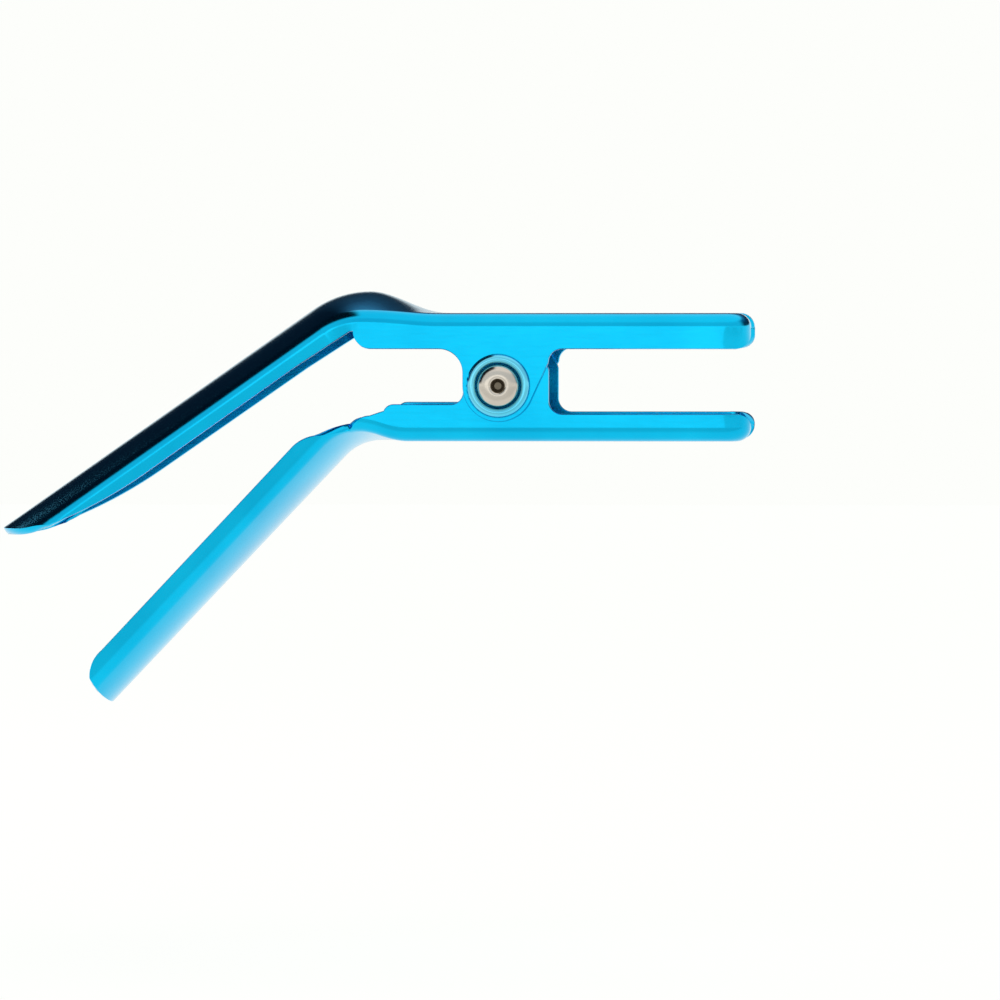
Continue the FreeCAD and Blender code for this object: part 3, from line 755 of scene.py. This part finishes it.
def pressing(name, lever, material, body, node):
    """A whole pressing: its outer face, its inner face a sheet's thickness inside it, and a rounded edge
    between them whose profile is half an ellipse, SHEET high and EDGE_BULGE deep."""
    skin = joined_skin(name + "_skin", lever)
    points = values_of(skin.vertices, "co", 3) / MM
    normal = values_of(skin.polygons, "normal", 3)
    flat = values_of(skin.polygons, "material_index", kind=np.int32) == 1
    sides = values_of(skin.polygons, "loop_total", kind=np.int32)
    starts = values_of(skin.polygons, "loop_start", kind=np.int32)
    corners = values_of(skin.loops, "vertex_index", kind=np.int32)
    face_of = np.repeat(np.arange(len(sides)), sides)

    # A point faces as its faces do on average, and where a flat wall meets a bend, as the wall does.
    weight = values_of(skin.polygons, "area") * np.where(flat, FLAT_WEIGHT, 1.0)
    facing = np.zeros_like(points)
    np.add.at(facing, corners, (normal * weight[:, None])[face_of])
    facing = unit(facing)

    # The rim: edges with one face. Away from it, square to the edge and to the way it faces.
    following = np.arange(1, len(corners) + 1)
    following[starts + sides - 1] = starts
    following = corners[following]
    keys = np.minimum(corners, following).astype(np.int64) * len(points) + np.maximum(corners, following)
    _, first_use, uses = np.unique(keys, return_index=True, return_counts=True)
    rim = first_use[uses == 1]
    here, there = corners[rim], following[rim]
    step = np.cross(unit(points[there] - points[here]), facing[here] + facing[there])
    away = np.zeros_like(points)
    np.add.at(away, here, unit(step))
    np.add.at(away, there, unit(step))

    # The edge's rings, at even turns from the outer face to the inner.
    lips = np.unique(np.concatenate([here, there]))
    out = facing[lips]
    away = unit(away[lips] - out * np.sum(away[lips] * out, 1, keepdims=True))
    turns = np.linspace(0.0, math.pi, EDGE_STEPS + 1)[1:-1]
    height = SHEET / 2 * np.cos(turns)
    reach = EDGE_BULGE * np.sin(turns)
    scale = 1.0 / np.hypot(height, reach)
    ring = (
        (points[lips] - out * SHEET / 2)[:, None]
        + out[:, None] * (SHEET / 2 * height * scale)[:, None]
        + away[:, None] * (EDGE_BULGE * reach * scale)[:, None]
    )
    ring_facing = out[:, None] * np.cos(turns)[:, None] + away[:, None] * np.sin(turns)[:, None]
    inner = points - facing * SHEET
    count = len(points)
    ring_index = 2 * count + np.arange(ring[..., 0].size).reshape(len(lips), -1)
    ring_index = np.column_stack([lips, ring_index, lips + count])
    a, b = ring_index[np.searchsorted(lips, there)], ring_index[np.searchsorted(lips, here)]
    edge = np.stack([a[:, :-1], b[:, :-1], b[:, 1:], a[:, 1:]], -1).reshape(-1, 4)

    # The bead: an arc about its crest's circle, which faces straight away from that circle's tube.
    shown = facing.copy()
    radius = np.hypot(points[:, 0] - PIVOT_X, points[:, 2] - PIVOT_Z)
    if lever.beaded:
        from_crest = radius - BEAD_RADIUS
        on_bead = (np.abs(from_crest) <= BEAD_FOOT + 1e-6) & (np.abs(facing[:, 1]) >= 0.99)
        from_crest = from_crest[on_bead]
        side = np.sign(points[on_bead, 1])
        tube = np.sqrt(np.maximum(BEAD_TUBE**2 - from_crest**2, 0.0))
        slope = from_crest / BEAD_TUBE
        lean = slope / radius[on_bead]
        shown[on_bead] = np.stack(
            [
                lean * (points[on_bead, 0] - PIVOT_X),
                side * np.sqrt(1 - slope * slope),
                lean * (points[on_bead, 2] - PIVOT_Z),
            ],
            1,
        )
        points[on_bead, 1] += side * np.maximum(tube - (BEAD_TUBE - BEAD_RISE), 0.0)
    # Faces on the bead's crest take the paler material, a painted highlight.
    middle = np.add.reduceat(points[corners], starts) / sides[:, None]
    from_crest = np.hypot(middle[:, 0] - PIVOT_X, middle[:, 2] - PIVOT_Z) - BEAD_RADIUS
    highlit_bead_faces = (np.abs(middle[:, 1]) > lever.half_width) & (np.abs(from_crest) < BEAD_FOOT - 0.1)
    highlit_bead_faces &= lever.beaded

    # The lower pressing is drawn web up, and is turned over here.
    everything = np.concatenate([points, inner, ring.reshape(-1, 3)]) * (1, 1, lever.sense)
    facings = np.concatenate([shown, -facing, ring_facing.reshape(-1, 3)]) * (1, 1, lever.sense)
    outer_faces = [face.tolist() for face in np.split(corners, starts[1:])]
    inner_faces = [[corner + count for corner in reversed(face)] for face in outer_faces]
    faces = outer_faces + inner_faces + edge.tolist()
    if lever.sense < 0:
        faces = [face[::-1] for face in faces]
    material_index = np.zeros(len(faces), int)
    material_index[: len(highlit_bead_faces)] = highlit_bead_faces
    mesh = bpy.data.meshes.new(name)
    mesh.from_pydata((everything * MM).tolist(), [], faces)
    mesh.polygons.foreach_set("use_smooth", np.ones(len(faces), bool))
    mesh.polygons.foreach_set("material_index", material_index)
    mesh.normals_split_custom_set_from_vertices(facings.tolist())
    mesh.materials.append(material)
    mesh.materials.append(bead_painted_highlight)
    bpy.data.meshes.remove(skin)
    piece = bpy.data.objects.new(name, mesh)
    bpy.context.scene.collection.objects.link(piece)
    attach(piece, body)
    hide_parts(node)
    return piece


upper = Lever(
    half_width=19.0,
    bend_back=UPPER_BEND_BACK,
    bend_radius=12.0,
    angle=UPPER_ANGLE,
    length=UPPER_LENGTH,
    end_length=9.0,
    outline=upper_outline(),
    beaded=True,
)
lower = Lever(
    half_width=17.6,
    bend_back=LOWER_BEND_BACK,
    bend_radius=8.0,
    angle=-LOWER_ANGLE,
    length=LOWER_LENGTH,
    end_length=1.2,
    outline=lower_outline(),
    beaded=False,
)
pressing("upper_pressing", upper, anodised_blue, "upper_arm", "upper_lever")
pressing("lower_pressing", lower, anodised_blue, "lower_arm", "lower_lever")


def dress_node(name, material, edge_mm):
    """Gives a CAD node its material, joins its loose triangles and rounds its sharp edges by edge_mm."""
    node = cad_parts[name]
    node.data.materials.clear()
    node.data.materials.append(material)
    weld = node.modifiers.new("joined", "WELD")
    weld.merge_threshold = 0.002 * MM
    bevel = node.modifiers.new("soft_edges", "BEVEL")
    bevel.width = edge_mm * MM
    bevel.segments = 2
    bevel.limit_method = "ANGLE"
    bevel.angle_limit = math.radians(38)
    bevel.harden_normals = False
    normals = node.modifiers.new("even_shading", "WEIGHTED_NORMAL")
    normals.keep_sharp = False
    return node


# The rivet: its heads stand on the ears' outer faces, and its near end is rolled over a drilled bore.
HEAD_FACE = 19.3
HEAD_RADIUS = 3.2
HEAD_HEIGHT = 1.4
HEAD_RIM = 0.2
SHANK_RADIUS = 2.0
ROLL_RADIUS = 0.5
CREST_RADIUS = 1.5
BORE_RADIUS = 0.55
BORE_DEPTH = 1.1
SHADED_BORE_RADIUS = 0.98


def turned_rivet():
    """The rivet as a profile turned about the hinge line. Its far head is a quarter ellipse. Its near end
    is a quarter ellipse up to the crest, then a quarter circle rolled over into a tapering bore."""
    quarter = np.linspace(0.0, math.pi / 2, 13)
    dome = HEAD_HEIGHT - HEAD_RIM
    far_radii = HEAD_RADIUS * np.cos(quarter[::-1])
    far_along = HEAD_FACE + HEAD_RIM + dome * np.sin(quarter[::-1])
    near_radii = CREST_RADIUS + (HEAD_RADIUS - CREST_RADIUS) * np.cos(quarter)
    near_along = -HEAD_FACE - HEAD_RIM - dome * np.sin(quarter)
    roll_radii = CREST_RADIUS - ROLL_RADIUS * np.sin(quarter[1:])
    roll_along = -HEAD_FACE - HEAD_HEIGHT + ROLL_RADIUS * (1 - np.cos(quarter[1:]))
    bore_along = -HEAD_FACE - HEAD_HEIGHT + BORE_DEPTH
    shank_radii = [HEAD_RADIUS, SHANK_RADIUS, SHANK_RADIUS, HEAD_RADIUS]
    shank_along = [HEAD_FACE, HEAD_FACE, -HEAD_FACE, -HEAD_FACE]
    radii = np.concatenate([far_radii, shank_radii, near_radii, roll_radii, [BORE_RADIUS, 0.0]])
    along = np.concatenate([far_along, shank_along, near_along, roll_along, [bore_along, bore_along]])
    turns = np.linspace(0.0, 2 * math.pi, 97)
    grid = np.stack(
        [
            PIVOT_X + np.cos(turns)[:, None] * radii,
            np.broadcast_to(along, (len(turns), len(along))),
            PIVOT_Z + np.sin(turns)[:, None] * radii,
        ],
        -1,
    )
    points, faces = strip(grid)
    mesh = bpy.data.meshes.new("rolled_rivet")
    mesh.from_pydata((points * MM).tolist(), [], faces.tolist())
    net = bmesh.new()
    net.from_mesh(mesh)
    bmesh.ops.remove_doubles(net, verts=net.verts, dist=0.002 * MM)
    bmesh.ops.recalc_face_normals(net, faces=net.faces)
    net.to_mesh(mesh)
    net.free()
    x, y, z = values_of(mesh.polygons, "center", 3).T / MM
    # Faces deep in the bore take the darker material, painted shade for the recess.
    in_bore = (y < -HEAD_FACE) & (np.hypot(x - PIVOT_X, z - PIVOT_Z) < SHADED_BORE_RADIUS)
    mesh.polygons.foreach_set("material_index", in_bore.astype(int))
    mesh.polygons.foreach_set("use_smooth", np.ones(len(in_bore), bool))
    mesh.set_sharp_from_angle(angle=math.radians(50))
    mesh.materials.append(nickel)
    mesh.materials.append(bore_painted_shade)
    rivet = bpy.data.objects.new("rolled_rivet", mesh)
    bpy.context.scene.collection.objects.link(rivet)
    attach(rivet, "lower_arm")
    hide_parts("pivot_rivet")
    return rivet


def wound_spring():
    """The CAD spring, joined along its seams, with its wire material."""
    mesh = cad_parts["torsion_spring"].data.copy()
    mesh.name = "wound_spring"
    mesh.transform(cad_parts["torsion_spring"].matrix_world)
    net = bmesh.new()
    net.from_mesh(mesh)
    bmesh.ops.remove_doubles(net, verts=net.verts, dist=0.002 * MM)
    net.to_mesh(mesh)
    net.free()
    mesh.polygons.foreach_set("use_smooth", np.ones(len(mesh.polygons), bool))
    mesh.set_sharp_from_angle(angle=math.radians(40))
    mesh.materials.clear()
    mesh.materials.append(spring_wire)
    spring = bpy.data.objects.new("wound_spring", mesh)
    bpy.context.scene.collection.objects.link(spring)
    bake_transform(spring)
    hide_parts("torsion_spring")
    return spring


turned_rivet()
dress_node("spacer_sleeve", nickel, 0.1)
wound_spring()

# Camera: the photograph's low, nearly square-on view through a long lens.
PIXELS_PER_MM = 6.4
PICTURE_PIXELS = 1000.0
LOOK_AT = Vector((-27.7, 0.0, -19.3)) * MM
CAMERA_AZIMUTH = math.radians(3.0)
CAMERA_ELEVATION = math.radians(1.3)
FOCAL_MM = 300.0
SENSOR_MM = 36.0
frame_width = PICTURE_PIXELS / PIXELS_PER_MM * MM
distance = frame_width * FOCAL_MM / SENSOR_MM
back = Vector(
    (
        math.sin(CAMERA_AZIMUTH) * math.cos(CAMERA_ELEVATION),
        -math.cos(CAMERA_AZIMUTH) * math.cos(CAMERA_ELEVATION),
        math.sin(CAMERA_ELEVATION),
    )
)
camera_data = bpy.data.cameras.new("camera")
camera_data.lens = FOCAL_MM
camera_data.sensor_width = SENSOR_MM
camera_data.clip_start = 0.01
camera_data.clip_end = 20.0
camera = bpy.data.objects.new("camera", camera_data)
camera.location = LOOK_AT + back * distance
camera.rotation_euler = back.to_track_quat("Z", "Y").to_euler()
bpy.context.scene.collection.objects.link(camera)
bpy.context.scene.camera = camera


def soft_light(name, place_mm, target_mm, width_mm, height_mm, watts):
    """A rectangular area light at place_mm that faces target_mm."""
    data = bpy.data.lights.new(name, "AREA")
    data.shape = "RECTANGLE"
    data.size = width_mm * MM
    data.size_y = height_mm * MM
    data.energy = watts
    light = bpy.data.objects.new(name, data)
    light.location = Vector(place_mm) * MM
    away = Vector(place_mm) - Vector(target_mm)
    light.rotation_euler = away.to_track_quat("Z", "Y").to_euler()
    bpy.context.scene.collection.objects.link(light)
    return light


soft_light("front_softbox", (-300, -1500, 60), (-40, 0, -10), 900, 420, 0.4)
soft_light("rear_left_softbox", (-700, 500, 200), (-40, 0, -10), 400, 400, 1.0)

# A pale floor well under the clamp, which is off the ground in use. It shows white to the camera and in
# the metal, less the shadow on it, without lighting anything else.
FLOOR_Z = -90.0
FLOOR_REACH = 3000.0
PAPER_GLOW = 0.93
BACKGROUND = linear("fdfefb")
floor_corners = np.array([[-1, -1], [1, -1], [1, 1], [-1, 1]]) * FLOOR_REACH
floor_mesh = bpy.data.meshes.new("pale_floor")
floor_mesh.from_pydata([(x * MM, y * MM, FLOOR_Z * MM) for x, y in floor_corners], [], [(0, 1, 2, 3)])
floor = bpy.data.objects.new("pale_floor", floor_mesh)
bpy.context.scene.collection.objects.link(floor)
# Matt seamless paper: even, with no gloss of its own.
paper = bpy.data.materials.new("white_paper")
paper.use_nodes = True
paper_shader = paper.node_tree.nodes["Principled BSDF"]
paper_shader.inputs["Base Color"].default_value = linear("6a6a6a")
paper_shader.inputs["Roughness"].default_value = 0.9
paper_shader.inputs["Specular IOR Level"].default_value = 0.0
paper_shader.inputs["Emission Color"].default_value = BACKGROUND
rays = add_node(paper.node_tree, "ShaderNodeLightPath").outputs
floor_place = add_node(paper.node_tree, "ShaderNodeTexCoord").outputs["Object"]
floor_parts = add_node(paper.node_tree, "ShaderNodeSeparateXYZ", {"Vector": floor_place}).outputs
# In the metal the bench in front of the paper, towards the camera, shows darker.
on_paper = add_node(
    paper.node_tree,
    "ShaderNodeMapRange",
    {"Value": floor_parts["Y"], "From Min": -160 * MM, "From Max": -90 * MM, "To Min": 0.8, "To Max": 1.0},
)
in_metal = add_node(
    paper.node_tree,
    "ShaderNodeMath",
    {0: rays["Is Glossy Ray"], 1: on_paper.outputs["Result"]},
    operation="MULTIPLY",
)
seen = add_node(
    paper.node_tree,
    "ShaderNodeMath",
    {0: rays["Is Camera Ray"], 1: in_metal.outputs[0]},
    operation="MAXIMUM",
)
glow = add_node(
    paper.node_tree,
    "ShaderNodeMath",
    {0: seen.outputs[0], 1: PAPER_GLOW},
    operation="MULTIPLY",
)
paper.node_tree.links.new(glow.outputs[0], paper_shader.inputs["Emission Strength"])
floor_mesh.materials.append(paper)

# The room: white round the horizon. Behind the clamp a dark wall stands over it under a soft light
# overhead, and towards the camera the wall is pale. Far to the left it is darker still.
world = bpy.data.worlds.new("studio")
bpy.context.scene.world = world
world.use_nodes = True
room = world.node_tree
direction = add_node(room, "ShaderNodeTexCoord").outputs["Generated"]
parts = add_node(room, "ShaderNodeSeparateXYZ", {"Vector": direction}).outputs
HORIZON = [(0.0, BACKGROUND), (0.1, BACKGROUND)]
OVERHEAD = (0.75, linear("ffffff"))
dark_wall = add_node(
    room,
    "ShaderNodeValToRGB",
    {"Fac": parts["Z"]},
    stops=[
        *HORIZON,
        (0.17, linear("1c2834")),
        (0.45, linear("2c4456")),
        (0.62, linear("5c8098")),
        OVERHEAD,
    ],
)
pale_wall = add_node(
    room,
    "ShaderNodeValToRGB",
    {"Fac": parts["Z"]},
    stops=[*HORIZON, (0.2, linear("dce2e6")), (0.6, linear("e0e6ea")), OVERHEAD],
)
left_wall = add_node(
    room,
    "ShaderNodeValToRGB",
    {"Fac": parts["Z"]},
    stops=[*HORIZON, (0.17, linear("101a28")), (1.0, linear("06090e"))],
)
towards_camera = add_node(
    room,
    "ShaderNodeMapRange",
    {"Value": parts["Y"], "From Min": 0.3, "From Max": -0.3},
    interpolation_type="SMOOTHSTEP",
)
walls = add_node(
    room,
    "ShaderNodeMix",
    {0: towards_camera.outputs["Result"], 6: dark_wall.outputs["Color"], 7: pale_wall.outputs["Color"]},
    data_type="RGBA",
)
leftwards = add_node(
    room,
    "ShaderNodeMapRange",
    {"Value": parts["X"], "From Min": -0.12, "From Max": -0.3},
    interpolation_type="SMOOTHSTEP",
)
behind = add_node(
    room,
    "ShaderNodeMapRange",
    {"Value": parts["Y"], "From Min": -0.6, "From Max": -0.35},
    interpolation_type="SMOOTHSTEP",
)
on_left = add_node(
    room,
    "ShaderNodeMath",
    {0: leftwards.outputs["Result"], 1: behind.outputs["Result"]},
    operation="MULTIPLY",
)
every_wall = add_node(
    room,
    "ShaderNodeMix",
    {0: on_left.outputs[0], 6: walls.outputs[2], 7: left_wall.outputs["Color"]},
    data_type="RGBA",
)
room.links.new(every_wall.outputs[2], room.nodes["Background"].inputs["Color"])
room.nodes["Background"].inputs["Strength"].default_value = 1.0

bpy.context.scene.view_settings.view_transform = "Standard"
